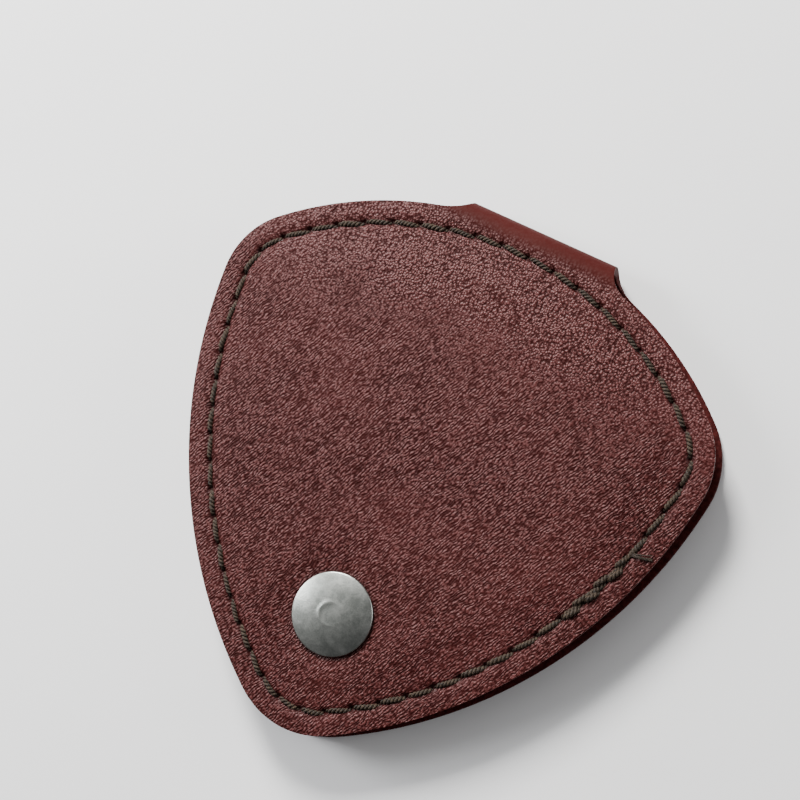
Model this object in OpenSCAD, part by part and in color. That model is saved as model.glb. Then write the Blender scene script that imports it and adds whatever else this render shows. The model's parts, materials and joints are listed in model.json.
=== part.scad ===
// Folding pick holder: two leather covers shaped like a large plectrum, joined by a narrow
// folded strip at the wide end and held shut by a ring-spring press stud near the tip.
// Lies on its back cover: +Z up, +Y from the tip to the fold, +X to the right seen from above.
// The origin is under the middle of the closed case, on its rest face. Sizes in mm.

/* [Cover outline] */
// Radius of the rounded tip of the front cover
tip_r = 13.3; // [12:0.1:15]
// Radius of the two rounded shoulders
shoulder_r = 12.4; // [10:0.1:14]
// Distance of each shoulder's centre from the middle line
shoulder_x = 27.9; // [26:0.1:30]
// Height of the shoulder centres above the tip's centre
shoulder_y = 45; // [42:0.5:48]
// Radius of the two long sides
side_r = 74; // [68:1:90]
// Radius of the wide end
top_r = 54.6; // [50:0.2:62]
// How much larger the back cover is cut, all round
back_grow = 0.7; // [0:0.1:1]

/* [Layers] */
// Thickness of the outer leather
leather_t = 1.2; // [1:0.1:1.6]
// Thickness of the lining
lining_t = 0.4; // [0.3:0.1:0.6]
// Thickness of the pocket panels
pocket_t = 0.9; // [0.6:0.1:1]
// Space between the two sewn pocket borders with the case shut
inner_gap = 2.4; // [2.3:0.1:3]
// How far each pocket panel stands off its lining
pocket_room = 1; // [0.8:0.05:1.05]
// Distance from the cover's edge to the lining's edge
lining_inset = 0.5; // [0.3:0.1:1]
// Distance from the cover's edge to the pocket panel's edge
pocket_inset = 0.8; // [0.6:0.1:1.5]
// Width of the pocket panel's sewn border
border_w = 7.2; // [6:0.1:10]

/* [Pocket mouth] */
// Radius of the curved mouth
mouth_r = 42; // [38:1:50]
// Depth of the pocket mouth's lowest point above the tip's centre
mouth_low = 33; // [28:1:36]

/* [Fold] */
// Width of the folded strip
strip_w = 23.7; // [18:0.1:30]
// Shift of the strip to the right of the middle line
strip_x = 2.4; // [-3:0.1:3]
// How far the fold stands out beyond the wide end
fold_out = 1.1; // [0.8:0.1:2]
// Radius of the flares beside the strip
flare_r = 4; // [3:0.5:6]
// Gap between the strip and each cover
fold_gap = 0.12; // [0.1:0.01:0.2]

/* [Stitching] */
// Distance from the front cover's edge to the stitch line
stitch_inset = 3.4; // [3:0.1:4]
// Target length of one stitch
stitch_pitch = 4.35; // [3.5:0.05:5]
// Thread radius
thread_r = 0.36; // [0.3:0.01:0.4]
// Depth of the groove the thread lies in
groove_d = 0.3; // [0.2:0.05:0.4]
// Slant of each stitch to the line
stitch_slant = 6; // [0:1:12]

/* [Press stud] */
// Diameter of the visible cap
cap_d = 12.5; // [11:0.5:13]
// Height of the cap's dome above the leather
cap_h = 1.3; // [1:0.1:2]
// Height of the press stud above the tip's centre
snap_y = 4.9; // [4:0.1:8]
// Outer diameter of the socket
socket_d = 10.4; // [10:0.1:11]
// Outer diameter of the stud's flange
flange_d = 10; // [9:0.1:11]
// Diameter of the stud's neck
neck_d = 5; // [4.8:0.1:5.2]
// Diameter of the stud's bead
bead_d = 5.6; // [5.4:0.1:5.8]

/* [Hidden] */
$fn = 96;
far = 40;
// lengthwise positions, measured from the tip's centre
top_y0 = shoulder_y - sqrt(pow(top_r - shoulder_r, 2) - shoulder_x * shoulder_x);
apex = top_y0 + top_r + fold_out;
tip_y = -(apex - tip_r - back_grow) / 2;
hinge_y = tip_y + apex - leather_t / 2;
// heights, from the rest face up
z_lining = leather_t;
z_border = z_lining + lining_t;
z_inner = z_border + pocket_t;
total_t = 2 * z_inner + inner_gap;
wall_t = pocket_t;
// corner circles and the large arcs that touch them, counter-clockwise from the tip
C = [[0, tip_y], [shoulder_x, tip_y + shoulder_y], [-shoulder_x, tip_y + shoulder_y]];
Rc = [tip_r, shoulder_r, shoulder_r];
Rb = [side_r, top_r, side_r];
function arc_centre(a, ra, b, rb, R) =
    let (d = b - a, L = norm(d), u = d / L, n = [-u.y, u.x], p = R - ra, q = R - rb,
         x = (L * L + p * p - q * q) / (2 * L))
    a + u * x + n * sqrt(p * p - x * x);
middle = (C[0] + C[1] + C[2]) / 3;
B = [for (i = [0:2]) arc_centre(C[i], Rc[i], C[(i + 1) % 3], Rc[(i + 1) % 3], Rb[i])];
function unit(v) = v / norm(v);
function bearing(v) = atan2(v.y, v.x);
// the six arcs in order: [centre, radius, start angle, sweep]
function arc(c, r, v0, v1) = [c, r, bearing(v0), (bearing(v1) - bearing(v0) + 720) % 360];
arcs = [for (i = [0:2]) let (k = (i + 1) % 3, h = (i + 2) % 3)
    each [arc(C[i], Rc[i], C[i] - B[h], C[i] - B[i]), arc(B[i], Rb[i], C[i] - B[i], C[k] - B[i])]];
snap_at = [0, tip_y + snap_y];
mouth_at = [0, tip_y + mouth_low + mouth_r];
// clearances: air between touching pieces, play of a pin in its bore, cut past a face, overlap of
// joined shapes
air = 0.02;
play = 0.05;
past = 1;
lap = 0.1;
// press stud: post and its rolled end, sheet metal, rear head, cap rim, stud bead and ring spring
post_r = 1.6;
bore_r = post_r + play;
roll_r = post_r + 0.5;
neck_r = neck_d / 2;
bead_r = bead_d / 2;
sheet = 0.4;
head_t = 0.5;
clinch_t = 0.3;
rim_r = 0.35;
dimple_r = 0.8;
spring_r = 0.22;
spring_gap = 0.08;
socket_low = z_inner + sheet + 0.12;
socket_top = z_inner + inner_gap;
stud_top = socket_top - sheet - clinch_t - 0.15;
cavity_r = bead_r + 0.12;
groove_r = cavity_r + 0.35;
groove_h = 0.52;
// thread: depth a stitch's ends dive, length lost at each pair of ends, its loose end
stitch_rise = 0.45;
stitch_short = 0.9;
tail_at = 0.8;
tail_r = 1.8;
tail_turn = 70;
tip_block = snap_y + 8.6;
bead_t = 0.22;
groove_low = 0.1;
flare_bite = 0.02;
corner_bite = 0.01;

// the plectrum outline, grown by g: each long side is a disc cut between two rays, and the
// corner circles are a hair larger so that they close over the ends of the sides
module outline(g) {
    polygon(C);
    for (i = [0:2]) {
        k = (i + 1) % 3;
        translate(C[i]) circle(r = Rc[i] + g + corner_bite);
        intersection() {
            translate(B[i]) circle(r = Rb[i] + g);
            polygon([middle, C[i], C[i] + far * unit(C[i] - B[i]), C[k] + far * unit(C[k] - B[i]), C[k]]);
        }
    }
}

// centre of the round flare beside the strip, s = -1 left or 1 right
function flare_centre(s, g) =
    let (x = strip_x + s * (strip_w / 2 + flare_r), reach = top_r + g + flare_r - flare_bite)
    [x, B[1].y + sqrt(reach * reach - x * x)];
function flare_foot(s, g) = B[1] + (top_r + g - flare_bite) * unit(flare_centre(s, g) - B[1]);

// the strip's share of a cover, flaring out into the wide end on both sides
module tab_shape(g) {
    l = flare_foot(-1, g);
    r = flare_foot(1, g);
    difference() {
        polygon([l, l - [0, 4], r - [0, 4], r, flare_centre(1, g), flare_centre(-1, g)]);
        for (s = [-1, 1]) translate(flare_centre(s, g)) circle(r = flare_r);
    }
}

// a cover with its half of the flares, cut square at the fold
module cover_shape(g) {
    difference() {
        union() {
            outline(g);
            tab_shape(g);
        }
        translate([-far, hinge_y - leather_t / 2 - fold_gap]) square([2 * far, far]);
    }
}

// ring between two insets of the outline
module ring_shape(outer, inner) {
    difference() {
        outline(-outer);
        outline(-inner);
    }
}

// the bag: where the pocket panel stands off the lining
module bag_shape() {
    difference() {
        outline(-pocket_inset - border_w);
        translate(C[0]) circle(r = tip_block);
        mouth_cut();
    }
}

module slab(z, t) {
    translate([0, 0, z]) linear_extrude(height = t) children();
}

// a round solid or cut on the press stud's axis
module bore(r, z, t) {
    translate([snap_at.x, snap_at.y, z]) cylinder(h = t, r = r);
}

// one cover lying with its outer face at z = 0
module cover(g, head_r) {
    difference() {
        slab(0, leather_t) cover_shape(g);
        slab(-past, past + groove_d)
            ring_shape(stitch_inset - thread_r - lap, stitch_inset + thread_r + lap);
        bore(bore_r, -past, leather_t + 2 * past);
        if (head_r > 0) bore(head_r + play, -past, past + head_t + air);
    }
}

module lining() {
    difference() {
        slab(z_lining, lining_t) difference() {
            outline(-lining_inset);
            translate([-far, hinge_y - leather_t - 2.4]) square([2 * far, far]);
        }
        bore(bore_r, 0, total_t);
    }
}

module mouth_cut() {
    translate(mouth_at) circle(r = mouth_r);
}

// raised middle of a pocket panel
module pocket() {
    slab(z_border + pocket_room, pocket_t) bag_shape();
}

// solid ground of the pocket panel: its sewn rim and the disc round the press stud
module ground_shape() {
    difference() {
        union() {
            ring_shape(pocket_inset, pocket_inset + border_w);
            intersection() {
                outline(-pocket_inset);
                translate(C[0]) circle(r = tip_block);
            }
        }
        mouth_cut();
    }
}

// the panel's sewn border and the step up to its raised middle
module pocket_border() {
    difference() {
        union() {
            slab(z_border, pocket_t) ground_shape();
            slab(z_border, pocket_t + pocket_room) difference() {
                ground_shape();
                ground_edge();
            }
        }
        bore(bore_r, 0, total_t);
    }
}

// everything in the border that lies outside the step
module ground_edge() {
    ring_shape(pocket_inset - 1, pocket_inset + border_w - wall_t);
    translate(C[0]) circle(r = tip_block - wall_t);
}

// one stitch: a short arched length of thread whose ends dive into the leather
module stitch(len) {
    R = (len * len / 4 + stitch_rise * stitch_rise) / (2 * stitch_rise);
    half = asin(len / 2 / R);
    translate([0, 0, -R]) rotate([90, 0, 0]) rotate([0, 0, 90 - half])
        rotate_extrude(angle = 2 * half) translate([R, 0]) circle(r = thread_r, $fn = 24);
}

// a full round of stitches on a cover lying with its outer face at z = 0
module stitching() {
    for (a = arcs) {
        r = a[1] - stitch_inset;
        n = round(a[3] * PI / 180 * r / stitch_pitch);
        len = a[3] * PI / 180 * r / n - stitch_short;
        for (i = [0:n - 1]) {
            t = a[2] + a[3] * (i + 0.5) / n;
            p = a[0] + r * [cos(t), sin(t)];
            inner_z = norm(p - mouth_at) < mouth_r + 2 ? z_border : z_inner;
            translate([p.x, p.y, 0]) rotate([0, 0, t + 90 + stitch_slant]) {
                translate([0, 0, thread_r + air]) mirror([0, 0, 1]) stitch(len);
                translate([0, 0, inner_z]) stitch(len);
            }
        }
    }
}

// turns a half lying on its outer face into the front half of the closed case
module as_front() {
    translate([0, 0, total_t]) mirror([0, 0, 1]) children();
}

// flat ring of a hollow tube with both ends open
module tube(z, h, r_out, r_in) {
    translate([snap_at.x, snap_at.y, z]) difference() {
        cylinder(h = h, r = r_out);
        translate([0, 0, -past]) cylinder(h = h + 2 * past, r = r_in);
    }
}

module back_cover() color([0.34, 0.19, 0.18]) cover(back_grow, flange_d / 2);

module back_lining() color([0.16, 0.13, 0.12]) lining();

module back_pocket() color([0.38, 0.22, 0.20]) pocket();

module back_pocket_border() color([0.38, 0.22, 0.20]) pocket_border();

module back_stitching() color([0.21, 0.15, 0.12]) stitching();

// stud: flange, neck and the bead the ring spring snaps behind
module snap_stud() color([0.55, 0.55, 0.54]) {
    difference() {
        translate([snap_at.x, snap_at.y, z_inner]) {
            cylinder(h = sheet, r = flange_d / 2);
            cylinder(h = stud_top - z_inner, r = neck_r);
            translate([0, 0, stud_top - z_inner - bead_t]) rotate_extrude() union() {
                translate([bead_r - bead_t, 0]) circle(r = bead_t, $fn = 32);
                translate([0, -bead_t]) square([bead_r - bead_t, 2 * bead_t]);
            }
        }
        bore(roll_r + play, z_inner + sheet, total_t);
        bore(bore_r, 0, total_t);
    }
}

// post: flush rear head, tube through the back cover, flared over inside the stud
module snap_post() color([0.50, 0.50, 0.49]) {
    bore(flange_d / 2, 0, head_t);
    tube(head_t - lap, z_inner + sheet + clinch_t - head_t + lap, post_r, post_r - sheet);
    tube(z_inner + sheet + air, clinch_t, roll_r, post_r - sheet);
}

// strip of the outer leather that forms the spine, with a rounded fold at each end
module fold_strip() color([0.33, 0.17, 0.16]) {
    r = leather_t / 2;
    translate([strip_x - strip_w / 2, 0, 0]) {
        translate([0, hinge_y - r, r]) cube([strip_w, leather_t, total_t - leather_t]);
        for (z = [r, total_t - r])
            translate([0, hinge_y, z]) rotate([0, 90, 0]) cylinder(h = strip_w, r = r);
    }
}

module front_cover() color([0.36, 0.20, 0.19]) as_front() cover(0, 0);

module front_lining() color([0.16, 0.13, 0.12]) as_front() lining();

module front_pocket() color([0.38, 0.22, 0.20]) as_front() pocket();

module front_pocket_border() color([0.38, 0.22, 0.20]) as_front() pocket_border();

module front_stitching() color([0.21, 0.15, 0.12]) as_front() stitching();

// loose end of the thread where the seam was finished, on the right-hand side
module thread_tail() color([0.21, 0.15, 0.12]) {
    a = arcs[1];
    t = a[2] + a[3] * tail_at;
    at = a[0] + (a[1] - stitch_inset + 0.7) * [cos(t), sin(t)];
    translate([at.x, at.y, total_t + thread_r / 2]) rotate([0, 0, t - tail_turn])
        rotate_extrude(angle = tail_turn) translate([tail_r, 0]) circle(r = thread_r * 0.7, $fn = 24);
}

// cap: low dome with a rolled rim and a small raised ring in the middle, and its post
module snap_cap() color([0.58, 0.59, 0.60]) {
    edge = cap_d / 2;
    dome = cap_h - rim_r;
    R = (edge * edge + dome * dome) / (2 * dome);
    post_low = socket_top - sheet - clinch_t;
    translate([snap_at.x, snap_at.y, total_t]) {
        cylinder(h = rim_r, r = edge - rim_r);
        translate([0, 0, rim_r]) rotate_extrude() translate([edge - rim_r, 0]) circle(r = rim_r, $fn = 32);
        intersection() {
            translate([0, 0, cap_h - R]) sphere(r = R, $fn = 192);
            cylinder(h = cap_h, r = edge - rim_r);
        }
        translate([0, 0, cap_h - air]) rotate_extrude()
            translate([dimple_r, 0]) circle(r = rim_r / 3, $fn = 24);
    }
    tube(post_low, total_t - post_low + lap, post_r, post_r - sheet);
    tube(post_low, clinch_t, roll_r, post_r - sheet);
}

// socket: a cup that drops over the stud, its base held by the cap's post
module snap_socket() color([0.55, 0.55, 0.54]) {
    difference() {
        bore(socket_d / 2, socket_low, socket_top - socket_low);
        bore(cavity_r, 0, socket_top - sheet + air);
        bore(bore_r, 0, total_t);
        bore(groove_r, socket_low + groove_low, groove_h);
    }
}

// ring spring in the socket's groove, seated behind the stud's bead
module snap_spring() color([0.70, 0.70, 0.68]) {
    R = neck_r + spring_gap + spring_r;
    translate([snap_at.x, snap_at.y, socket_low + groove_low + spring_r + air])
        rotate_extrude() translate([R, 0]) circle(r = spring_r, $fn = 24);
}

back_cover();
back_lining();
back_pocket();
back_pocket_border();
back_stitching();
snap_stud();
snap_post();
fold_strip();
front_cover();
front_lining();
front_pocket();
front_pocket_border();
front_stitching();
thread_tail();
snap_cap();
snap_socket();
snap_spring();
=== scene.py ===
import json
import math
import random

import bpy
import bmesh
import numpy as np
from mathutils import Matrix, Vector
from mathutils.geometry import delaunay_2d_cdt


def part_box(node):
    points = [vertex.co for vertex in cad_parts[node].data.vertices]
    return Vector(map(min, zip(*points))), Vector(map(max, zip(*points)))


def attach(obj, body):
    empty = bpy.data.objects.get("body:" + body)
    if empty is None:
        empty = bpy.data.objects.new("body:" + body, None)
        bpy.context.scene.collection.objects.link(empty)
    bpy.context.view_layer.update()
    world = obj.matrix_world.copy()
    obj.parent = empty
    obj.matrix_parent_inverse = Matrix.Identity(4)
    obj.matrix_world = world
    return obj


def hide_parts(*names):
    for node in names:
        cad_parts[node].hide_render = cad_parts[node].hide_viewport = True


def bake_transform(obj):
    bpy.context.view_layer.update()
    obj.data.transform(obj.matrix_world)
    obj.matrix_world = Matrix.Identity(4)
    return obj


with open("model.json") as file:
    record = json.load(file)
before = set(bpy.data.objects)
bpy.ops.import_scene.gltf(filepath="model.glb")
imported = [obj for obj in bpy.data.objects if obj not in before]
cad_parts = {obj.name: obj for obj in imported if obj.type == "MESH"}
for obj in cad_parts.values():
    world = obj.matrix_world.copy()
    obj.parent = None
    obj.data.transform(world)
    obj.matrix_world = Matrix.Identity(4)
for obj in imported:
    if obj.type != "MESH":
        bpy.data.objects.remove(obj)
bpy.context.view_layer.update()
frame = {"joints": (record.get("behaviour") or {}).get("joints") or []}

rng = np.random.default_rng(11)
MM = 0.001

# ---------------------------------------------------------------- sizes, in millimetres
# the case's own outline, as in the part's source
TIP_R, SHOULDER_R, SHOULDER_X, SHOULDER_Y = 13.3, 12.4, 27.9, 45.0
SIDE_R, TOP_R, BACK_GROW = 74.0, 54.6, 0.7
LEATHER, LINING, POCKET, ROOM = 1.2, 0.4, 0.9, 1.0
SEAM_IN, PITCH = 3.4, 4.35
MOUTH_R, MOUTH_LOW = 42.0, 33.0
POCKET_IN, BORDER, SNAP_UP = 0.8, 7.2, 4.9
FOLD_R = 2.2                      # middle radius of the rounded fold
RIB_PITCH = 0.39                  # spacing of the ribs in the grain
RIB_ANGLE = math.radians(66)      # their direction, from +X

lo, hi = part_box("back_cover")
TIP_Y = lo.y / MM + TIP_R + BACK_GROW
lo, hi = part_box("fold_strip")
STRIP_L, STRIP_R = lo.x / MM, hi.x / MM
TOTAL = hi.z / MM
joint = {j["name"]: j for j in frame["joints"]}
HINGE_Y = joint["spine_fold"]["pos_m"][1] / MM
BEND_Y = HINGE_Y - FOLD_R
UNROLL = FOLD_R * math.pi / 2 + (TOTAL / 2 - LEATHER / 2 - FOLD_R)
lo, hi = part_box("snap_cap")
CAP_R = (hi.x - lo.x) / 2 / MM
CAP_TOP = hi.z / MM
SNAP = np.array([(lo.x + hi.x) / 2 / MM, (lo.y + hi.y) / 2 / MM])
Z_BORDER = LEATHER + LINING
Z_INNER = Z_BORDER + POCKET


# ---------------------------------------------------------------- outline
def arc_centre(a, ra, b, rb, big):
    d = b - a
    length = np.hypot(*d)
    u = d / length
    n = np.array([-u[1], u[0]])
    p, q = big - ra, big - rb
    x = (length ** 2 + p * p - q * q) / (2 * length)
    return a + u * x + n * math.sqrt(p * p - x * x)


CORNER = [np.array([0, TIP_Y]), np.array([SHOULDER_X, TIP_Y + SHOULDER_Y]),
          np.array([-SHOULDER_X, TIP_Y + SHOULDER_Y])]
CORNER_R, BIG_R = [TIP_R, SHOULDER_R, SHOULDER_R], [SIDE_R, TOP_R, SIDE_R]
BIG = [arc_centre(CORNER[i], CORNER_R[i], CORNER[(i + 1) % 3], CORNER_R[(i + 1) % 3], BIG_R[i])
       for i in range(3)]
ARCS = []
for i in range(3):
    for c, r, v0, v1 in ((CORNER[i], CORNER_R[i], CORNER[i] - BIG[i - 1], CORNER[i] - BIG[i]),
                         (BIG[i], BIG_R[i], CORNER[i] - BIG[i], CORNER[(i + 1) % 3] - BIG[i])):
        a0, a1 = math.atan2(v0[1], v0[0]), math.atan2(v1[1], v1[0])
        ARCS.append((c, r, a0, (a1 - a0) % (2 * math.pi)))
# one entry per stitch: (arc, start angle, end angle)
STITCHES = []
for arc in ARCS:
    n = max(1, round(arc[3] * (arc[1] - SEAM_IN) / PITCH))
    for i in range(n):
        STITCHES.append((arc, arc[2] + arc[3] * i / n, arc[2] + arc[3] * (i + 1) / n))
MOUTH = np.array([0, TIP_Y + MOUTH_LOW + MOUTH_R])


def ring(inset, per_stitch):
    """Points of the outline moved in by inset, counter-clockwise from the tip."""
    pts = []
    for (c, r, _, _), t0, t1 in STITCHES:
        t = t0 + (t1 - t0) * np.arange(per_stitch) / per_stitch
        pts.append(c + (r - inset) * np.c_[np.cos(t), np.sin(t)])
    return np.vstack(pts)


def depth_in(p):
    """How far each point lies inside the front cover's outline."""
    best = np.full(len(p), 1e9)
    for c, r, a0, sweep in ARCS:
        v = p - c
        a = (np.arctan2(v[:, 1], v[:, 0]) - a0) % (2 * math.pi)
        d = r - np.hypot(v[:, 0], v[:, 1])
        ok = (a <= sweep) & (np.abs(d) < np.abs(best))
        best = np.where(ok, d, best)
    return np.where(best > 1e8, 30, best)


HOLES = np.array([a[0] + (a[1] - SEAM_IN) * np.array([math.cos(t), math.sin(t)])
                  for a, t, _ in STITCHES])


def smooth(a, b, x):
    t = np.clip((x - a) / (b - a), 0, 1)
    return t * t * (3 - 2 * t)


def hole_distance(p):
    out = np.empty(len(p))
    for k in range(0, len(p), 4000):
        q = p[k:k + 4000]
        out[k:k + 4000] = np.sqrt(((q[:, None, :] - HOLES[None]) ** 2).sum(2)).min(1)
    return out


WAVES = [(rng.uniform(0.05, 0.16), rng.uniform(0, 6.28), rng.uniform(0, 6.28)) for _ in range(7)]


def waviness(p):
    """Slow, shallow unevenness of leather that has been handled."""
    z = np.zeros(len(p))
    for k, angle, phase in WAVES:
        z += np.sin((p[:, 0] * math.cos(angle) + p[:, 1] * math.sin(angle)) * k * 2 + phase)
    return z / len(WAVES)


# ---------------------------------------------------------------- meshes
def triangulate(boundary, extra):
    """Flat mesh inside a closed boundary with extra points in it; numbers are in millimetres."""
    pts = [Vector(p) for p in np.vstack([boundary, extra])]
    n = len(boundary)
    edges = [(i, (i + 1) % n) for i in range(n)]
    v, _, f, _, _, _ = delaunay_2d_cdt(pts, edges, [], 1, 1e-5)
    return np.array([tuple(q) for q in v]), [tuple(t) for t in f]


def inside(p, poly):
    x, y = p[:, 0], p[:, 1]
    hit = np.zeros(len(p), bool)
    for (x0, y0), (x1, y1) in zip(poly, np.roll(poly, -1, 0)):
        cross = (y0 > y) != (y1 > y)
        with np.errstate(divide="ignore", invalid="ignore"):
            hit ^= cross & (x < (x1 - x0) * (y - y0) / (y1 - y0) + x0)
    return hit


def away(p, poly, d):
    """Keeps the points that lie inside poly and at least d from its vertices."""
    p = p[inside(p, poly)]
    keep = np.ones(len(p), bool)
    for k in range(0, len(p), 3000):
        q = p[k:k + 3000]
        keep[k:k + 3000] = np.sqrt(((q[:, None] - poly[None]) ** 2).sum(2)).min(1) > d
    return p[keep]


def grid(x0, x1, y0, y1, step):
    """Points of a triangular grid."""
    rows = np.arange(y0, y1, step * 0.87)
    return np.array([(x + (i % 2) * step / 2, y) for i, y in enumerate(rows)
                     for x in np.arange(x0, x1, step)])


def mesh_object(name, verts, faces, smooth_shade=True):
    me = bpy.data.meshes.new(name)
    me.from_pydata([tuple(v) for v in verts], [], faces)
    me.validate()
    if smooth_shade:
        me.polygons.foreach_set("use_smooth", [True] * len(me.polygons))
    ob = bpy.data.objects.new(name, me)
    bpy.context.scene.collection.objects.link(ob)
    return ob


def solid_sheet(name, flat, faces, top, bottom, open_y=None, width=0.3, segments=3):
    """Closes a flat mesh into a sheet from bottom to top, with rounded rims. open_y: no rim there."""
    n = len(flat)
    verts = np.vstack([np.c_[flat, top], np.c_[flat, bottom]])
    used = {}
    for f in faces:
        for a, b in zip(f, f[1:] + f[:1]):
            used[(a, b)] = used.get((a, b), 0) + 1
    rim = [(a, b) for a, b in used if (b, a) not in used]
    if open_y is not None:
        rim = [(a, b) for a, b in rim if not (flat[a][1] > open_y - 1e-3 and flat[b][1] > open_y - 1e-3)]
    all_faces = list(faces) + [tuple(i + n for i in reversed(f)) for f in faces]
    all_faces += [(b, a, a + n, b + n) for a, b in rim]
    ob = mesh_object(name, verts, all_faces)
    bm = bmesh.new()
    bm.from_mesh(ob.data)
    bm.verts.ensure_lookup_table()
    weight = bm.edges.layers.float.get("bevel_weight_edge") or bm.edges.layers.float.new("bevel_weight_edge")
    for a, b in rim:
        for off in (0, n):
            e = bm.edges.get((bm.verts[a + off], bm.verts[b + off]))
            if e:
                e[weight] = 1.0
    bm.to_mesh(ob.data)
    bm.free()
    mod = ob.modifiers.new("rim", "BEVEL")
    mod.limit_method = "WEIGHT"
    mod.width = width
    mod.segments = segments
    mod.harden_normals = False
    bpy.context.view_layer.update()
    dg = bpy.context.evaluated_depsgraph_get()
    me = bpy.data.meshes.new_from_object(ob.evaluated_get(dg))
    ob.modifiers.clear()
    ob.data = me
    me.name = name
    me.polygons.foreach_set("use_smooth", [True] * len(me.polygons))
    return ob


def coords(ob):
    co = np.zeros(len(ob.data.vertices) * 3)
    ob.data.vertices.foreach_get("co", co)
    return co.reshape(-1, 3)


def set_coords(ob, co):
    ob.data.vertices.foreach_set("co", np.asarray(co, np.float32).ravel())
    ob.data.update()


def flip(ob):
    ob.data.flip_normals()


def note(ob, name, values):
    """Stores one number or one vector per vertex for the materials."""
    values = np.asarray(values, np.float32)
    kind = "FLOAT_VECTOR" if values.ndim == 2 else "FLOAT"
    at = ob.data.attributes.new(name, kind, "POINT")
    at.data.foreach_set("vector" if values.ndim == 2 else "value", values.ravel())


def to_frame(flat, z_mid, side):
    """Flat leather (x, y along the leather, height from its middle) bent round the fold. side is 1
    for the front half, whose outer face is up, and -1 for the back half."""
    x, y, h = flat[:, 0], flat[:, 1], flat[:, 2]
    a = np.clip(y - BEND_Y, 0, None)
    quarter = FOLD_R * math.pi / 2
    theta = np.clip(a, 0, quarter) / FOLD_R
    down = np.clip(a - quarter, 0, None)
    yy = np.where(a > 0, BEND_Y + (FOLD_R + h) * np.sin(theta), y)
    drop = FOLD_R - (FOLD_R + h) * np.cos(theta) + down
    zz = np.where(a > 0, z_mid - side * drop, z_mid + side * h)
    return np.c_[x, yy, zz]


# ---------------------------------------------------------------- outer leather
def leather_outline(grow):
    """Closed edge of one cover with its half of the strip, flat, counter-clockwise."""
    edge = ring(-grow, 8)
    feet = {}
    for s, x_e in ((1, STRIP_R), (-1, STRIP_L)):
        top = (edge[:, 1] > BIG[1][1]) & (np.sign(edge[:, 0]) == s)
        k = np.where(top)[0]
        feet[s] = k[np.argmin(np.abs(edge[k, 0] - (x_e + s * 4)))]
    end = BEND_Y + UNROLL
    paths = {}
    for s, x_e in ((1, STRIP_R), (-1, STRIP_L)):
        p0 = edge[feet[s]]
        slope = -(p0[0] - BIG[1][0]) / (p0[1] - BIG[1][1])
        p1 = np.array([x_e, p0[1] + slope * (x_e - p0[0])])
        p2 = np.array([x_e, BEND_Y + 2.9])
        t = np.linspace(0, 1, 16)[:, None]
        curve = (1 - t) ** 2 * p0 + 2 * t * (1 - t) * p1 + t * t * p2
        up = np.arange(p2[1] + 0.3, end - 0.1, 0.3)
        curve = np.vstack([curve, np.c_[np.full(len(up), x_e), up], [x_e, end]])
        paths[s] = curve
    across = np.linspace(STRIP_R, STRIP_L, 60)[1:-1]
    top = np.c_[across, np.full(len(across), end)]
    before = edge[:feet[1]]
    after = edge[feet[-1] + 1:]
    return np.vstack([before, paths[1], top, paths[-1][::-1], after]), end


def cover_height(p, front):
    """Outer face's height over its flat middle plane: groove, needle holes, soft pillow."""
    d = depth_in(p)
    hole = hole_distance(p)
    groove = np.exp(-((d - SEAM_IN) / 0.48) ** 2)
    pit = np.exp(-(hole / 0.48) ** 2)
    fade = 1 - smooth(BEND_Y - 0.8, BEND_Y + 0.6, p[:, 1])
    z = -0.24 * groove - 0.45 * pit
    if front:
        pillow = smooth(SEAM_IN, 10, d) * 0.34
        cap = np.hypot(p[:, 0] - SNAP[0], p[:, 1] - SNAP[1])
        z = z + pillow * (1 - np.exp(-(np.clip(cap - CAP_R + 0.6, 0, None) / 3.2) ** 2))
        z = z + 0.07 * waviness(p)
        z = z + 0.08 * np.exp(-((d - 1.7) / 0.8) ** 2)
        z = z - 0.05 * np.exp(-(np.clip(cap - CAP_R, 0, None) / 0.5) ** 2)
    else:
        z = z + 0.05 * waviness(p) + 0.05
        z = np.where(z > 0, 0, z) - 0.02
        head = np.hypot(p[:, 0] - SNAP[0], p[:, 1] - SNAP[1])
        z = z - 0.5 * (1 - smooth(4.95, 5.25, head))
    return z * fade


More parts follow.
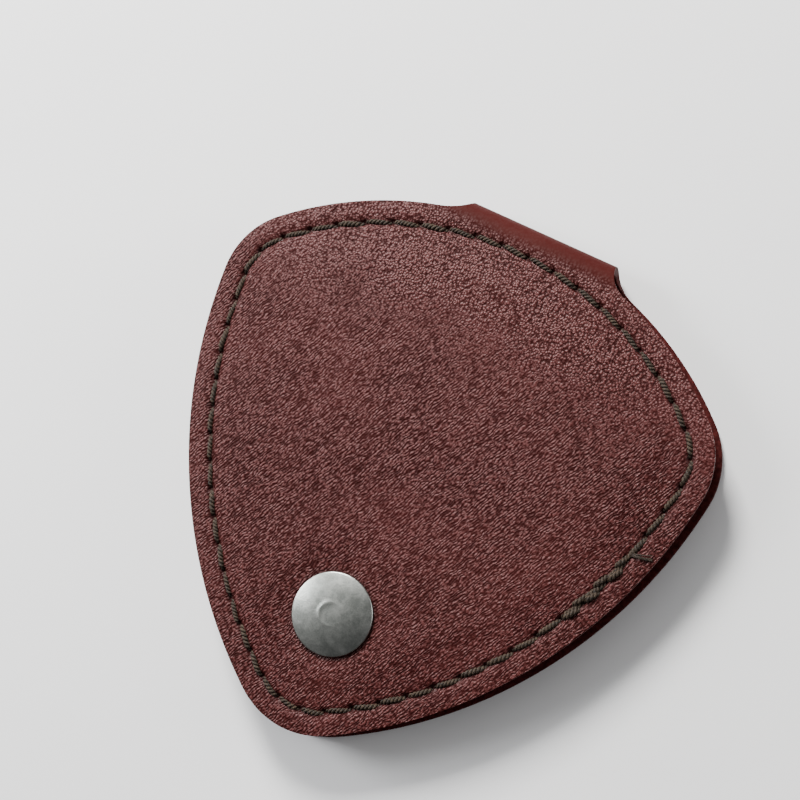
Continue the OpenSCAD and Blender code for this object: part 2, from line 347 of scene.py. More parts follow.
def make_cover(front):
    grow = 0 if front else BACK_GROW
    edge, end = leather_outline(grow)
    extra = [ring(d, 16) for d in (2.5, 2.8, 3.05, 3.25, 3.4, 3.55, 3.75, 4.0, 4.35)]
    extra += [ring(d, 8) for d in (0.5 - grow * 0.9, 1.0, 1.6, 2.1, 4.9, 5.6)]
    spots = np.vstack([h + r * np.array([math.cos(a), math.sin(a)]) for h in HOLES
                       for r in (0.28, 0.55) for a in np.arange(0, 6.28, 0.9)])
    extra.append(spots)
    inner = ring(5.9, 8)
    g = grid(-42, 42, -42, 42, 0.85)
    extra.append(away(g, inner, 0.35))
    s = grid(STRIP_L - 4, STRIP_R + 4, BEND_Y - 3, end - 0.15, 0.33)
    on_tab = depth_in(s) < 2.2
    extra.append(away(s[on_tab], edge, 0.22))
    if not front:
        for r in (4.95, 5.05, 5.15, 5.25):
            a = np.linspace(0, 2 * math.pi, 96, endpoint=False)
            extra.append(SNAP + r * np.c_[np.cos(a), np.sin(a)])
    extra = np.vstack(extra)
    extra = extra[inside(extra, edge)]
    flat, faces = triangulate(edge, extra)
    top = LEATHER / 2 + cover_height(flat, front)
    bottom = np.full(len(flat), -LEATHER / 2)
    name = "leather_front" if front else "leather_back"
    ob = solid_sheet(name, flat, faces, top, bottom, open_y=end, width=0.3)
    co = coords(ob)
    d = depth_in(co[:, :2])
    hole = hole_distance(co[:, :2])
    # painted shade: darker along the stitch groove and in the needle holes
    painted_shade = 0.75 * np.exp(-((d - SEAM_IN) / 0.38) ** 2) + np.exp(-(hole / 0.5) ** 2)
    if front:
        # painted shadow in a ring round the cap where it sits on the leather
        cap = np.hypot(co[:, 0] - SNAP[0], co[:, 1] - SNAP[1])
        painted_shade = np.maximum(painted_shade, 1 - smooth(CAP_R - 0.2, CAP_R + 0.55, cap))
    painted_shade = np.where(co[:, 1] > BEND_Y, 0, painted_shade) * (co[:, 2] > 0)
    note(ob, "flat", co)
    note(ob, "painted_shade", np.clip(painted_shade, 0, 1))
    # the cut edge: 1 on the rim's side, 0 on the faces
    rim = smooth(0.12, 0.34, LEATHER / 2 - co[:, 2]) * (d < 1.5)
    note(ob, "rim", rim)
    z_mid = TOTAL - LEATHER / 2 if front else LEATHER / 2
    set_coords(ob, to_frame(co, z_mid, 1 if front else -1) * MM)
    if not front:
        flip(ob)
    return ob


# ---------------------------------------------------------------- materials
def nodes_of(name):
    m = bpy.data.materials.new(name)
    m.use_nodes = True
    nt = m.node_tree
    return m, nt, nt.nodes["Principled BSDF"]


class Tree:
    """Short names for building node trees."""

    def __init__(self, nt):
        self.nt = nt

    def node(self, kind, **settings):
        n = self.nt.nodes.new(kind)
        inputs = settings.pop("inputs", {})
        for k, v in settings.items():
            setattr(n, k, v)
        for k, v in inputs.items():
            self.put(n, k, v)
        return n

    def put(self, n, key, v):
        if isinstance(v, bpy.types.NodeSocket):
            self.nt.links.new(v, n.inputs[key])
        else:
            n.inputs[key].default_value = v

    def math(self, op, a, b=0.0, c=0.0, clamp=False):
        return self.node("ShaderNodeMath", operation=op, use_clamp=clamp,
                         inputs={0: a, 1: b, 2: c}).outputs[0]

    def mix(self, fac, a, b):
        n = self.node("ShaderNodeMix", data_type="RGBA")
        self.put(n, 0, fac)
        self.put(n, 6, a)
        self.put(n, 7, b)
        return n.outputs[2]

    def blend(self, fac, a, b):
        n = self.node("ShaderNodeMix", data_type="FLOAT")
        self.put(n, 0, fac)
        self.put(n, 2, a)
        self.put(n, 3, b)
        return n.outputs[0]

    def noise(self, vector, scale, detail=2.0, rough=0.5, distortion=0.0):
        settings = {"Vector": vector, "Scale": scale, "Detail": detail, "Roughness": rough,
                    "Distortion": distortion}
        return self.node("ShaderNodeTexNoise", inputs=settings).outputs["Fac"]

    def cells(self, vector, scale, randomness):
        """Distance from the middle of soft cells."""
        settings = {"Vector": vector, "Scale": scale, "Smoothness": 0.1, "Randomness": randomness}
        return self.node("ShaderNodeTexVoronoi", feature="SMOOTH_F1", inputs=settings).outputs["Distance"]

    def attribute(self, name, output):
        return self.node("ShaderNodeAttribute", attribute_name=name).outputs[output]

    def mapped(self, vector, **settings):
        return self.node("ShaderNodeMapping", inputs={"Vector": vector, **settings}).outputs[0]

    def ramp(self, fac, a, b):
        return self.node("ShaderNodeMapRange", interpolation_type="SMOOTHSTEP",
                         inputs={"Value": fac, "From Min": a, "From Max": b}).outputs[0]

    def bump(self, height, strength, distance, normal=None):
        n = self.node("ShaderNodeBump", inputs={"Height": height, "Strength": strength, "Distance": distance})
        if normal is not None:
            self.put(n, "Normal", normal)
        return n.outputs[0]


def rgb(r, g, b):
    return (r, g, b, 1)


def leather_material(name, smooth_fold=True, tint=1.0):
    m, nt, bsdf = nodes_of(name)
    t = Tree(nt)
    flat = t.attribute("flat", "Vector")
    painted_shade = t.attribute("painted_shade", "Fac")
    rim = t.attribute("rim", "Fac")
    xyz = t.node("ShaderNodeSeparateXYZ", inputs={0: flat}).outputs
    # warp the grain a little so that no row runs straight
    warp = t.node("ShaderNodeTexNoise", inputs={"Vector": flat, "Scale": 0.55, "Detail": 2.0})
    centred = t.node("ShaderNodeVectorMath", operation="SUBTRACT",
                     inputs={0: warp.outputs["Color"], 1: (0.5, 0.5, 0.5)}).outputs[0]
    moved = t.node("ShaderNodeVectorMath", operation="MULTIPLY_ADD",
                   inputs={0: centred, 1: (0.7, 0.7, 0.7), 2: flat}).outputs[0]
    turned_at = t.mapped(moved, Rotation=(0, 0, -RIB_ANGLE))
    ribbed_at = t.mapped(turned_at, Scale=(0.62, 1.0, 0.8))
    # broken diagonal ribs over most of the face, round pebbles towards the fold
    across = t.node("ShaderNodeSeparateXYZ", inputs={0: turned_at}).outputs[1]
    phase = t.math("MULTIPLY", t.noise(ribbed_at, 1.3, 3.0), 12.0)
    wave = t.math("SINE", t.math("MULTIPLY_ADD", across, 2 * math.pi / RIB_PITCH, phase))
    segment = t.cells(ribbed_at, 1.1 / RIB_PITCH, 0.8)
    ribs = t.math("MULTIPLY_ADD", segment, -0.85, t.math("MULTIPLY_ADD", wave, 0.15, 0.74))
    pebbles = t.cells(moved, 1.05 / RIB_PITCH, 0.85)
    near_fold = t.ramp(t.math("ADD", xyz[1], t.math("MULTIPLY", t.noise(flat, 0.09), 18.0)), 22.0, 38.0)
    cell = t.blend(near_fold, ribs, t.math("SUBTRACT", 0.88, pebbles))
    fine = t.noise(moved, 5.5, 3.0, 0.6)
    grain = t.math("MULTIPLY_ADD", fine, 0.35, cell)
    on_face = t.math("SUBTRACT", 1.0, rim)
    if smooth_fold:
        flatness = t.ramp(xyz[1], BEND_Y - 1.6, BEND_Y + 0.9)
        keep = t.math("MULTIPLY", on_face, t.math("SUBTRACT", 1.0, t.math("MULTIPLY", flatness, 0.93)))
    else:
        keep = on_face
    height = t.math("MULTIPLY", grain, keep)
    # colour: painted shade in the creases of the grain, slow mottling, painted shade at the seam, in the
    # needle holes and round the cap
    crease = t.ramp(cell, 0.12, 0.72)
    slow = t.noise(flat, 0.06, 3.0, 0.6)
    low = rgb(0.019 * tint, 0.0030 * tint, 0.0027 * tint)
    high = rgb(0.092 * tint, 0.0205 * tint, 0.0187 * tint)
    face = t.mix(t.math("MULTIPLY", crease, keep), low, high)
    strip = rgb(0.036 * tint, 0.0036 * tint, 0.0025 * tint)
    face = t.mix(t.math("SUBTRACT", 1.0, keep, clamp=True), face, strip)
    faded = rgb(0.088 * tint, 0.022 * tint, 0.020 * tint)
    face = t.mix(t.math("MULTIPLY", t.ramp(slow, 0.35, 0.75), 0.2), face, faded)
    # painted shade along the seam, in the needle holes and round the cap
    face = t.mix(t.math("MULTIPLY", painted_shade, 0.9), face, rgb(0.016, 0.0026, 0.0024))
    edge_noise = t.noise(flat, 1.6, 3.0, 0.6)
    edge = t.mix(t.ramp(edge_noise, 0.35, 0.7), rgb(0.030, 0.0044, 0.0042), rgb(0.070, 0.013, 0.012))
    t.put(bsdf, "Base Color", t.mix(rim, face, edge))
    rough = t.blend(rim, t.math("MULTIPLY_ADD", fine, 0.22, 0.36), 0.5)
    rough = t.blend(keep, 0.62, rough)
    t.put(bsdf, "Roughness", rough)
    t.put(bsdf, "Specular IOR Level", t.blend(keep, 0.06, t.math("MULTIPLY_ADD", crease, 0.36, 0.05)))
    t.put(bsdf, "Specular Tint", rgb(1.0, 0.92, 0.91))
    grain_bump = t.bump(height, 1.0, 0.00015)
    t.put(bsdf, "Normal", t.bump(t.noise(flat, 0.8, 2.0), 0.35, 0.00012, grain_bump))
    return m


def thread_material():
    m, nt, bsdf = nodes_of("thread")
    t = Tree(nt)
    flat = t.attribute("flat", "Vector")
    hole_shade_and_tone = t.attribute("hole_shade_and_tone", "Fac")
    fibre_at = t.mapped(flat, Scale=(1.0, 9.0, 1.0))
    fibre = t.ramp(t.noise(fibre_at, 2.0, 3.0, 0.7), 0.36, 0.68)
    wear = t.ramp(t.noise(flat, 0.35, 2.0), 0.3, 0.75)
    mixed = t.mix(t.math("MULTIPLY_ADD", fibre, 0.75, t.math("MULTIPLY", wear, 0.2), clamp=True),
                  rgb(0.003, 0.0015, 0.0010), rgb(0.064, 0.041, 0.023))
    # painted shade on the thread where it goes down into the needle holes; the loose end is a little darker
    # all over
    t.put(bsdf, "Base Color", t.mix(t.math("MULTIPLY", hole_shade_and_tone, 0.8), mixed, rgb(0.008, 0.004, 0.003)))
    t.put(bsdf, "Roughness", t.math("MULTIPLY_ADD", fibre, 0.3, 0.58))
    t.put(bsdf, "Specular IOR Level", 0.3)
    t.put(bsdf, "Normal", t.bump(fibre, 0.6, 0.00005))
    return m


def metal_material(name, dark, light, rough, scale=1.0):
    m, nt, bsdf = nodes_of(name)
    t = Tree(nt)
    at = t.attribute("flat", "Vector")
    cloud = t.noise(at, 0.55 * scale, 5.0, 0.65, 0.3)
    speck = t.noise(at, 4.5 * scale, 3.0, 0.7)
    both = t.math("MULTIPLY_ADD", speck, 0.45, t.math("MULTIPLY", cloud, 0.75))
    mottled = t.ramp(both, 0.42, 0.80)
    t.put(bsdf, "Base Color", t.mix(mottled, dark, light))
    t.put(bsdf, "Metallic", 1.0)
    t.put(bsdf, "Roughness", t.math("MULTIPLY_ADD", both, 0.22, rough - 0.08))
    speck_bump = t.bump(speck, 0.25, 0.00004)
    t.put(bsdf, "Normal", t.bump(cloud, 0.3, 0.00010, speck_bump))
    return m


def lining_material():
    m, nt, bsdf = nodes_of("lining_cloth")
    t = Tree(nt)
    flat = t.attribute("flat", "Vector")
    xyz = t.node("ShaderNodeSeparateXYZ", inputs={0: flat}).outputs
    u = t.math("MULTIPLY", xyz[0], 2 * math.pi / 0.42)
    v = t.math("MULTIPLY", xyz[1], 2 * math.pi / 0.42)
    warp = t.math("MULTIPLY", t.math("SINE", u), t.math("COSINE", v))
    fuzz = t.noise(flat, 6.0, 4.0, 0.7)
    weave = t.math("MULTIPLY_ADD", warp, 0.5, 0.5)
    height = t.math("MULTIPLY_ADD", fuzz, 0.6, weave)
    # painted shade: the cloth is darker in the hollows of the weave
    hollow = rgb(0.012, 0.009, 0.008)
    t.put(bsdf, "Base Color", t.mix(t.ramp(height, 0.25, 1.25), hollow, rgb(0.055, 0.041, 0.036)))
    t.put(bsdf, "Roughness", t.math("MULTIPLY_ADD", fuzz, 0.15, 0.8))
    t.put(bsdf, "Sheen Weight", 0.25)
    t.put(bsdf, "Normal", t.bump(height, 0.7, 0.00009))
    return m


LEATHER_OUT = leather_material("outer_leather")
LEATHER_IN = leather_material("pocket_leather", smooth_fold=False, tint=1.05)
THREAD = thread_material()
CAP_METAL = metal_material("antique_nickel", rgb(0.27, 0.285, 0.265), rgb(0.40, 0.41, 0.385), 0.27)
SNAP_METAL = metal_material("inner_snap", rgb(0.16, 0.155, 0.145), rgb(0.46, 0.45, 0.43), 0.34)
WIRE = metal_material("spring_wire", rgb(0.34, 0.34, 0.33), rgb(0.66, 0.66, 0.64), 0.24, 3.0)
CLOTH = lining_material()


def dress(ob, material):
    ob.data.materials.clear()
    ob.data.materials.append(material)


front_leather = make_cover(True)
dress(front_leather, LEATHER_OUT)
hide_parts("front_cover", "fold_strip")
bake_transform(front_leather)
back_leather = make_cover(False)
dress(back_leather, LEATHER_OUT)
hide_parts("back_cover", "fold_strip")
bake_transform(back_leather)


# ---------------------------------------------------------------- thread
def tube(path, radius, sides=8):
    """Vertices and faces of a round tube along a path (k x 3)."""
    d = np.gradient(path, axis=0)
    d /= np.linalg.norm(d, axis=1)[:, None]
    up = np.array([0.0, 0.0, 1.0])
    a = np.cross(d, up)
    a /= np.linalg.norm(a, axis=1)[:, None] + 1e-9
    b = np.cross(a, d)
    t = np.arange(sides) * 2 * math.pi / sides
    r = radius if np.ndim(radius) else np.full(len(path), radius)
    v = path[:, None] + r[:, None, None] * (np.cos(t)[None, :, None] * a[:, None]
                                           + np.sin(t)[None, :, None] * b[:, None])
    k = len(path)
    f = [(i * sides + j, i * sides + (j + 1) % sides, (i + 1) * sides + (j + 1) % sides, (i + 1) * sides + j)
         for i in range(k - 1) for j in range(sides)]
    f += [tuple(range(sides))[::-1], tuple((k - 1) * sides + j for j in range(sides))]
    return v.reshape(-1, 3), f


def ply_pair(path, radius, pitch, phase):
    """Two strands twisted round a path: lists of (vertices, faces, along)."""
    d = np.gradient(path, axis=0)
    step = np.linalg.norm(d, axis=1)
    along = np.concatenate([[0], np.cumsum(step[1:])])
    d = d / step[:, None]
    side = np.cross(d, [0, 0, 1.0])
    side /= np.linalg.norm(side, axis=1)[:, None] + 1e-9
    up = np.cross(side, d)
    out = []
    for k in (0, 1):
        a = 2 * math.pi * along / pitch + phase + k * math.pi
        p = path + 1.0 * radius * (np.cos(a)[:, None] * side + 0.85 * np.sin(a)[:, None] * up)
        v, f = tube(p, radius)
        out.append((v, f, np.repeat(along, 8)))
    return out


class Bundle:
    """Collects tubes into one mesh."""

    def __init__(self):
        self.v, self.f, self.flat, self.hole_shade_and_tone = [], [], [], []
        self.n = 0

    def add(self, v, f, flat, hole_shade_and_tone):
        self.v.append(v)
        self.f += [tuple(i + self.n for i in q) for q in f]
        self.flat.append(flat)
        self.hole_shade_and_tone.append(hole_shade_and_tone)
        self.n += len(v)

    def build(self, name):
        ob = mesh_object(name, np.vstack(self.v) * MM, self.f)
        note(ob, "flat", np.vstack(self.flat))
        note(ob, "hole_shade_and_tone", np.concatenate(self.hole_shade_and_tone))
        return ob


def stitch_path(arc, t0, t1, face, lift, shift, slant, k=40):
    """Thread path of one stitch: out of one hole, over the leather, into the next."""
    c, r = arc[0], arc[1] - SEAM_IN
    u = np.linspace(0.0, 1.0, k)
    t = t0 + (t1 - t0) * u
    rise = 1 - np.abs(2 * u - 1) ** 2.8
    lateral = slant * (0.5 - u) * 2 * (1 - 0.35 * np.abs(2 * u - 1)) + shift
    p = c + (r - lateral)[:, None] * np.c_[np.cos(t), np.sin(t)]
    return np.c_[p, face(p) - 0.62 + rise * (0.62 + lift)]


def seam(face, seed, lift=0.10, turned_at=None, radius=0.225):
    """A full round of two-ply stitches. face gives the surface height at points; turned_at turns
    the seam over, so that heights count down from there."""
    rnd = random.Random(seed)
    b = Bundle()
    for arc, t0, t1 in STITCHES:
        path = stitch_path(arc, t0, t1, face, lift + rnd.uniform(-0.03, 0.05), rnd.uniform(-0.08, 0.08),
                           0.26 + rnd.uniform(-0.16, 0.14))
        thick = radius * rnd.uniform(0.86, 1.08)
        for v, f, along in ply_pair(path, thick, 1.1 * rnd.uniform(0.9, 1.12), rnd.uniform(0, 6.28)):
            # painted shade: the thread darkens where it dips below the leather into a hole
            hole_shade_and_tone = 1 - smooth(-0.4, 0.12, v[:, 2] - face(v[:, :2]))
            if turned_at is not None:
                v = np.c_[v[:, :2], turned_at - v[:, 2]]
                f = [q[::-1] for q in f]
            b.add(v, f, np.c_[v[:, 0], along, v[:, 1]], hole_shade_and_tone)
    return b


def place(ob, material, slot_name, body, *stands_for):
    """Finish, body and the CAD nodes a piece stands for. slot_name is not used."""
    dress(ob, material)
    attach(ob, body)
    if stands_for:
        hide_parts(*stands_for)
    return ob


def outer_face_front(p):
    return TOTAL + cover_height(p, True)


def inner_face(p):
    """Height of a cover's inner face over its outer one: pocket border, or lining above the mouth."""
    from_mouth = np.hypot(p[:, 0] - MOUTH[0], p[:, 1] - MOUTH[1]) - MOUTH_R
    level = np.where(from_mouth < 0.2, Z_BORDER, Z_INNER)
    return level - 0.16 * np.exp(-((depth_in(p) - SEAM_IN) / 0.5) ** 2)


front_seam = seam(outer_face_front, 3)

# back-tack: extra passes over the last stitches on the right-hand side
side_arc = ARCS[1]
right_side = [s for s in STITCHES if s[0] is side_arc]
tack = right_side[int(len(right_side) * 0.62):int(len(right_side) * 0.84)]
rnd = random.Random(5)
for arc, t0, t1 in tack:
    for turn in range(2):
        span = t1 - t0
        start = t0 + span * (0.5 * turn + rnd.uniform(-0.12, 0.12))
        shift = (-0.34, 0.3)[turn] + rnd.uniform(-0.1, 0.1)
        path = stitch_path(arc, start, start + span * 0.72, outer_face_front, 0.34, shift, 0.28, 26)
        for v, f, along in ply_pair(path, 0.22, 1.2, rnd.uniform(0, 6.28)):
            # painted shade: the thread darkens where it dips below the leather into a hole
            hole_shade_and_tone = 1 - smooth(-0.42, -0.02, v[:, 2] - outer_face_front(v[:, :2]))
            front_seam.add(v, f, np.c_[v[:, 0], along, v[:, 1]], hole_shade_and_tone)
place(front_seam.build("seam_front"), THREAD, "thread", "front", "front_stitching")
inside_seam = seam(inner_face, 7, 0.02, TOTAL, 0.2)
place(inside_seam.build("seam_front_inside"), THREAD, "thread", "front")
inside_seam = seam(inner_face, 8, 0.02, None, 0.2)
place(inside_seam.build("seam_back_inside"), THREAD, "thread", "back", "back_stitching")
back_seam = seam(lambda p: cover_height(p, False), 9, -0.17, 0.0, 0.215)
place(back_seam.build("seam_back"), THREAD, "thread", "back")

# the loose end, a flattened, slightly frayed tail lying out towards the edge
tail = Bundle()
end_t = side_arc[2] + side_arc[3] * 0.815
root = side_arc[0] + (side_arc[1] - SEAM_IN) * np.array([math.cos(end_t), math.sin(end_t)])
out_dir = np.array([math.cos(end_t), math.sin(end_t)])
along_dir = np.array([-math.sin(end_t), math.cos(end_t)])
for k in range(5):
    u = np.linspace(0, 1, 18)
    reach, sway = 2.75 + rnd.uniform(-0.35, 0.25), rnd.uniform(-0.22, 0.22)
    p = root + u[:, None] * reach * out_dir + (u ** 1.3)[:, None] * (1.5 + sway) * along_dir \
        + (0.1 * k - 0.2) * along_dir
    z = outer_face_front(p) + 0.12 + 0.10 * np.sin(u * 3) + 0.02 * k
    v, f = tube(np.c_[p, z], 0.15 * (1 - 0.55 * u), 6)
    tail.add(v, f, np.c_[v[:, 0] * 2, np.repeat(u, 6) * 3, v[:, 1]], np.full(len(v), 0.15))
place(tail.build("thread_end"), THREAD, "thread", "front", "thread_tail")


# ---------------------------------------------------------------- turned metal parts
def lathe(name, profile, segments=160):
    """Turns a profile of (radius, height) round the press stud's axis."""
    prof = np.array(profile, float)
    t = np.arange(segments) * 2 * math.pi / segments
    v, f = [], []
    for r, z in prof:
        v.append(np.c_[SNAP[0] + r * np.cos(t), SNAP[1] + r * np.sin(t), np.full(segments, z)])
    k = len(prof)
    for i in range(k - 1):
        for j in range(segments):
            a, b = i * segments + j, i * segments + (j + 1) % segments
            f.append((a, b, b + segments, a + segments))
    verts = np.vstack(v)
    ob = mesh_object(name, verts * MM, f)
    bm = bmesh.new()
    bm.from_mesh(ob.data)
    bmesh.ops.remove_doubles(bm, verts=bm.verts, dist=1e-7)
    bmesh.ops.recalc_face_normals(bm, faces=bm.faces)
    bm.to_mesh(ob.data)
    bm.free()
    ob.data.polygons.foreach_set("use_smooth", [True] * len(ob.data.polygons))
    co = coords(ob) / MM
    note(ob, "flat", co)
    return ob


def cap_profile():
    h = CAP_TOP - TOTAL
    edge = CAP_R
    pts = [(edge - 0.55, -0.25), (edge - 0.12, -0.05), (edge - 0.015, 0.12)]
    for a in np.linspace(-0.2, math.pi * 0.43, 12):
        pts.append((edge - 0.26 + 0.26 * math.cos(a), 0.26 + 0.26 * math.sin(a)))
    start = pts[-1]
    for r in np.linspace(start[0] - 0.08, 0.0, 70):
        dome = start[1] + (h - start[1] - 0.06) * (1 - (r / start[0]) ** 2.1)
        dimple = -0.03 * math.exp(-(r / 1.2) ** 2)
        pts.append((max(r, 0.0), dome + dimple))
    return [(r, TOTAL + z) for r, z in pts]


cap = lathe("cap_front", cap_profile())
# the dent in the middle has a soft lip, higher on one side
co = coords(cap) / MM
from_axis = co[:, :2] - SNAP
lip = np.exp(-((np.hypot(*from_axis.T) - 1.75) / 0.36) ** 2) * (co[:, 2] > TOTAL + 0.6)
turn = np.arctan2(from_axis[:, 1], from_axis[:, 0])
co[:, 2] += lip * (0.03 + 0.03 * np.cos(turn - math.radians(190)))
set_coords(cap, co * MM)
place(cap, CAP_METAL, "cap_metal", "front", "snap_cap")


def z_of(node):
    a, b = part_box(node)
    return a.z / MM, b.z / MM


post_r = 1.6
stud_low, stud_top = z_of("snap_stud")
bead_z = stud_top - 0.22
stud = [(post_r + 0.1, stud_low), (4.9, stud_low), (5.0, stud_low + 0.12), (4.96, stud_low + 0.3),
        (4.6, stud_low + 0.4), (4.1, stud_low + 0.36), (3.4, stud_low + 0.40), (2.75, stud_low + 0.46),
        (2.5, stud_low + 0.62), (2.5, bead_z - 0.28)]
stud += [(2.58 + 0.22 * math.cos(a), bead_z + 0.22 * math.sin(a)) for a in np.linspace(-1.2, 1.5, 12)]
stud += [(2.3, stud_top - 0.02), (2.18, stud_top - 0.12), (2.16, stud_low + 0.44),
         (post_r + 0.1, stud_low + 0.42)]
place(lathe("stud_back", stud), SNAP_METAL, "inner_snap_metal", "back", "snap_stud")

post_low, post_top = z_of("snap_post")
post = [(post_r, 0.5), (4.9, 0.5), (5.0, 0.36), (4.94, 0.14), (4.7, 0.03), (3.9, 0.015), (3.75, 0.06),
        (3.6, 0.015), (1.6, 0.02), (1.1, 0.10), (0.5, 0.13), (0, 0.13)]
post = [(r, post_low + z) for r, z in post]
place(lathe("post_head", post), SNAP_METAL, "inner_snap_metal", "back", "snap_post")


def clinch(name, z_in, z_out, body):
    """Hollow post end rolled over outwards; z_out is its open end, z_in where it comes from."""
    s = 1 if z_out > z_in else -1
    pts = [(1.2, z_in), (1.2, z_out - 0.35 * s)]
    pts += [(1.65 + 0.42 * math.cos(a), z_out - 0.25 * s + 0.24 * s * math.sin(a))
            for a in np.linspace(math.pi, 0.1, 14)]
    pts += [(2.02, z_out - 0.3 * s), (1.62, z_out - 0.31 * s), (1.6, z_in)]
    place(lathe(name, pts), SNAP_METAL, "inner_snap_metal", body)


clinch("post_roll_back", 0.5, post_top, "back")
clinch("post_roll_front", TOTAL - 0.2, z_of("snap_cap")[0], "front")

cup_low, cup_top = z_of("snap_socket")
cup = [(post_r + 0.1, cup_top), (5.0, cup_top), (5.2, cup_top - 0.16), (5.2, cup_low + 0.42)]
cup += [(4.84 + 0.36 * math.cos(a), cup_low + 0.38 - 0.36 * math.sin(a)) for a in np.linspace(0.2, 1.5, 8)]
cup += [(4.3, cup_low + 0.09), (3.7, cup_low + 0.12), (3.25, cup_low + 0.02), (3.05, cup_low + 0.01),
        (2.94, cup_low + 0.08), (3.25, cup_low + 0.13), (3.25, cup_low + 0.6), (2.94, cup_low + 0.68),
        (2.94, cup_top - 0.46), (2.8, cup_top - 0.39), (post_r + 0.1, cup_top - 0.39)]
place(lathe("socket_front", cup), SNAP_METAL, "inner_snap_metal", "front", "snap_socket")

wire_lo, wire_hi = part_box("snap_spring")
wire_r = (wire_hi.z - wire_lo.z) / 2 / MM
ring_r = (wire_hi.x - wire_lo.x) / 2 / MM - wire_r
angle = np.linspace(0.25, 2 * math.pi - 0.25, 150)
path = np.c_[SNAP[0] + ring_r * np.sin(angle), SNAP[1] - ring_r * np.cos(angle),
             np.full(150, (wire_lo.z + wire_hi.z) / 2 / MM)]
v, f = tube(path, wire_r, 16)
wire = Bundle()
wire.add(v, f, v, np.zeros(len(v)))
place(wire.build("spring_ring"), WIRE, "spring_wire", "front", "snap_spring")


# ---------------------------------------------------------------- linings and pockets
def turned(co):
    """From the back half's inside to the front half's: heights count down from the front face."""
    return np.c_[co[:, :2], TOTAL - co[:, 2]]


def inner_sheet(name, edge, extra, top_of, thick, body, material, slot_name, *stands_for):
    """A lining or pocket panel lying inside the back half, or turned over into the front half."""
    flat, faces = triangulate(edge, extra[inside(extra, edge)])
    top = top_of(flat)
    ob = solid_sheet(name, flat, faces, top, top - thick, width=min(0.28, thick * 0.4), segments=3)
    co = coords(ob)
    d = depth_in(co[:, :2])
    note(ob, "flat", co)
    # painted shade: darker along the stitch groove and in the needle holes
    holes = 0.8 * np.exp(-(hole_distance(co[:, :2]) / 0.5) ** 2)
    note(ob, "painted_shade", 0.7 * np.exp(-((d - SEAM_IN) / 0.38) ** 2) + holes)
    note(ob, "rim", smooth(0.15, 0.36, top_of(co[:, :2]) - co[:, 2]))
    if body == "front":
        co = turned(co)
        flip(ob)
    set_coords(ob, co * MM)
    return place(ob, material, slot_name, body, *stands_for)


LINING_END = HINGE_Y - LEATHER - 2.4
lining_edge = ring(0.5, 8)
lining_edge = lining_edge[lining_edge[:, 1] < LINING_END]
lining_extra = [ring(d, 8) for d in (1.2, 2.2, 3.0, 3.4, 3.8, 4.6)]
lining_extra = np.vstack(lining_extra + [away(grid(-42, 42, -42, 42, 1.2), ring(5.2, 8), 0.5)])
lining_extra = away(lining_extra, lining_edge, 0.3)
lining_extra = lining_extra[lining_extra[:, 1] < LINING_END - 0.3]


def lining_top(p):
    seam_dip = 0.1 * np.exp(-((depth_in(p) - SEAM_IN) / 0.5) ** 2)
    return Z_BORDER - seam_dip + 0.02 * waviness(p * 2)


for body in ("back", "front"):
    inner_sheet("lining_" + body, lining_edge, lining_extra, lining_top, LINING, body, CLOTH, "lining",
                body + "_lining")

pocket_ring = ring(POCKET_IN, 8)
low = np.hypot(*(pocket_ring - MOUTH).T) > MOUTH_R
first_gap = np.where(~low)[0]
run_a, run_b = pocket_ring[:first_gap[0]], pocket_ring[first_gap[-1] + 1:]
a0 = math.atan2(*(run_a[-1] - MOUTH)[::-1])
a1 = math.atan2(*(run_b[0] - MOUTH)[::-1])
arc_t = np.linspace(a0, a1, 130)[1:-1]
mouth_line = MOUTH + MOUTH_R * np.c_[np.cos(arc_t), np.sin(arc_t)]
pocket_edge = np.vstack([run_a, mouth_line, run_b])
TIP_BLOCK = SNAP_UP + 8.6


def pocket_top(p):
    d = depth_in(p)
    tip = np.hypot(p[:, 0] - CORNER[0][0], p[:, 1] - CORNER[0][1])
    raised = smooth(POCKET_IN + BORDER - 1.1, POCKET_IN + BORDER + 0.5, d)
    raised = raised * smooth(TIP_BLOCK - 1.1, TIP_BLOCK + 0.5, tip)
    from_mouth = np.hypot(p[:, 0] - MOUTH[0], p[:, 1] - MOUTH[1]) - MOUTH_R
    crease = 0.14 * np.exp(-((from_mouth - 1.9) / 0.28) ** 2)
    seam_dip = 0.16 * np.exp(-((d - SEAM_IN) / 0.45) ** 2) + 0.25 * np.exp(-(hole_distance(p) / 0.42) ** 2)
    return Z_INNER + ROOM * raised - crease - seam_dip


pocket_extra = [ring(d, 12) for d in (2.7, 3.1, 3.4, 3.7, 4.1)]
pocket_extra += [ring(d, 8) for d in (1.4, 2.0, 5.0, 6.0, 6.6, 7.1, 7.6, 8.1, 8.6)]
for r in (TIP_BLOCK - 0.9, TIP_BLOCK - 0.4, TIP_BLOCK + 0.1, TIP_BLOCK + 0.6):
    a = np.linspace(0, math.pi, 60)
    pocket_extra.append(CORNER[0] + r * np.c_[np.cos(a), np.sin(a)])
for r in (1.4, 1.75, 1.9, 2.05, 2.4):
    a = np.linspace(a0, a1, 130)
    pocket_extra.append(MOUTH + (MOUTH_R + r) * np.c_[np.cos(a), np.sin(a)])
pocket_extra.append(away(grid(-42, 42, -42, 42, 1.1), ring(8.9, 8), 0.5))
pocket_extra = away(np.vstack(pocket_extra), pocket_edge, 0.3)
for body in ("back", "front"):
    inner_sheet("pocket_" + body, pocket_edge, pocket_extra, pocket_top, POCKET, body, LEATHER_IN,
                "pocket_leather", body + "_pocket", body + "_pocket_border")


# ---------------------------------------------------------------- stage, light and camera
def area_light(name, at, to, size, power, tint=(1, 1, 1)):
    data = bpy.data.lights.new(name, "AREA")
    data.shape = "RECTANGLE"
    data.size, data.size_y = size
    data.energy = power
    data.color = tint
    ob = bpy.data.objects.new(name, data)
    bpy.context.scene.collection.objects.link(ob)
    ob.location = at
    ob.rotation_euler = (Vector(to) - Vector(at)).to_track_quat("-Z", "Y").to_euler()
    return ob


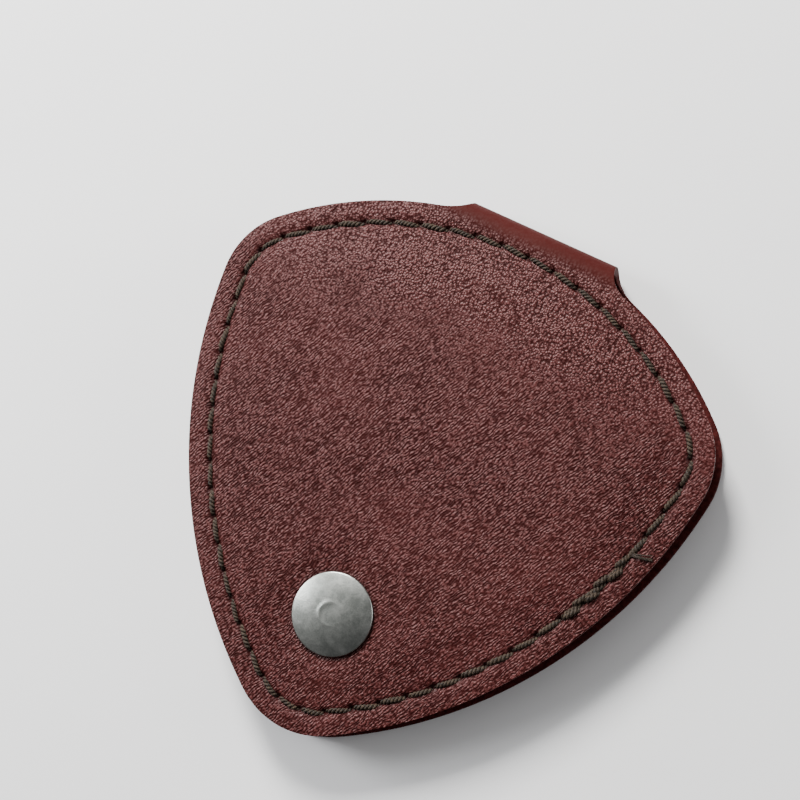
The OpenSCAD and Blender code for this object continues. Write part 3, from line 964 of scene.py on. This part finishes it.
def floor_material():
    m, nt, bsdf = nodes_of("paper_floor")
    t = Tree(nt)
    at = t.node("ShaderNodeNewGeometry").outputs["Position"]
    soft = t.noise(at, 30.0, 3.0)
    t.put(bsdf, "Base Color", t.mix(soft, rgb(0.80, 0.80, 0.81), rgb(0.86, 0.86, 0.86)))
    bsdf.inputs["Roughness"].default_value = 0.9
    return m


floor = mesh_object("floor", [(-2, -2, 0), (2, -2, 0), (2, 2, 0), (-2, 2, 0)], [(0, 1, 2, 3)], False)
floor.data.materials.append(floor_material())

area_light("key", (-0.30, 0.38, 0.34), (0, 0, 0), (0.16, 0.16), 9.0, (1.0, 0.985, 0.96))
area_light("fill", (0.42, 0.26, 0.15), (0, 0, 0), (0.25, 0.2), 1.0)
area_light("low", (-0.46, 0.08, 0.06), (0, 0, 0), (0.34, 0.08), 0.9)
area_light("side", (-0.42, -0.02, 0.24), (0, 0, 0), (0.14, 0.3), 2.6, (0.97, 0.98, 1.0))
world = bpy.data.worlds.new("studio")
bpy.context.scene.world = world
world.use_nodes = True
sky = Tree(world.node_tree)
# a soft sky, brighter on the left and behind, darker towards the front right
ray = sky.node("ShaderNodeTexCoord").outputs["Generated"]
lean = sky.node("ShaderNodeVectorMath", operation="DOT_PRODUCT",
                inputs={0: ray, 1: (-0.76, 0.56, 0.34)}).outputs["Value"]
glow = sky.ramp(lean, 0.05, 0.95)
back_node = world.node_tree.nodes["Background"]
sky.put(back_node, "Color", sky.mix(glow, rgb(0.17, 0.17, 0.175), rgb(1.3, 1.3, 1.3)))
sky.put(back_node, "Strength", 0.7)

cam_data = bpy.data.cameras.new("camera")
cam_data.lens, cam_data.sensor_width = 67.5, 36.0
cam = bpy.data.objects.new("camera", cam_data)
bpy.context.scene.collection.objects.link(cam)
forward = Vector((-0.2802, -0.0009, -0.9599)).normalized()
right = forward.cross(Vector((-0.4311, 0.8936, 0.1250))).normalized()
up = right.cross(forward)
eye = Vector((56.71, 37.68 + TIP_Y, 213.12 + TOTAL)) * MM
cam.matrix_world = Matrix(((right.x, up.x, -forward.x, eye.x), (right.y, up.y, -forward.y, eye.y),
                           (right.z, up.z, -forward.z, eye.z), (0, 0, 0, 1)))
bpy.context.scene.camera = cam
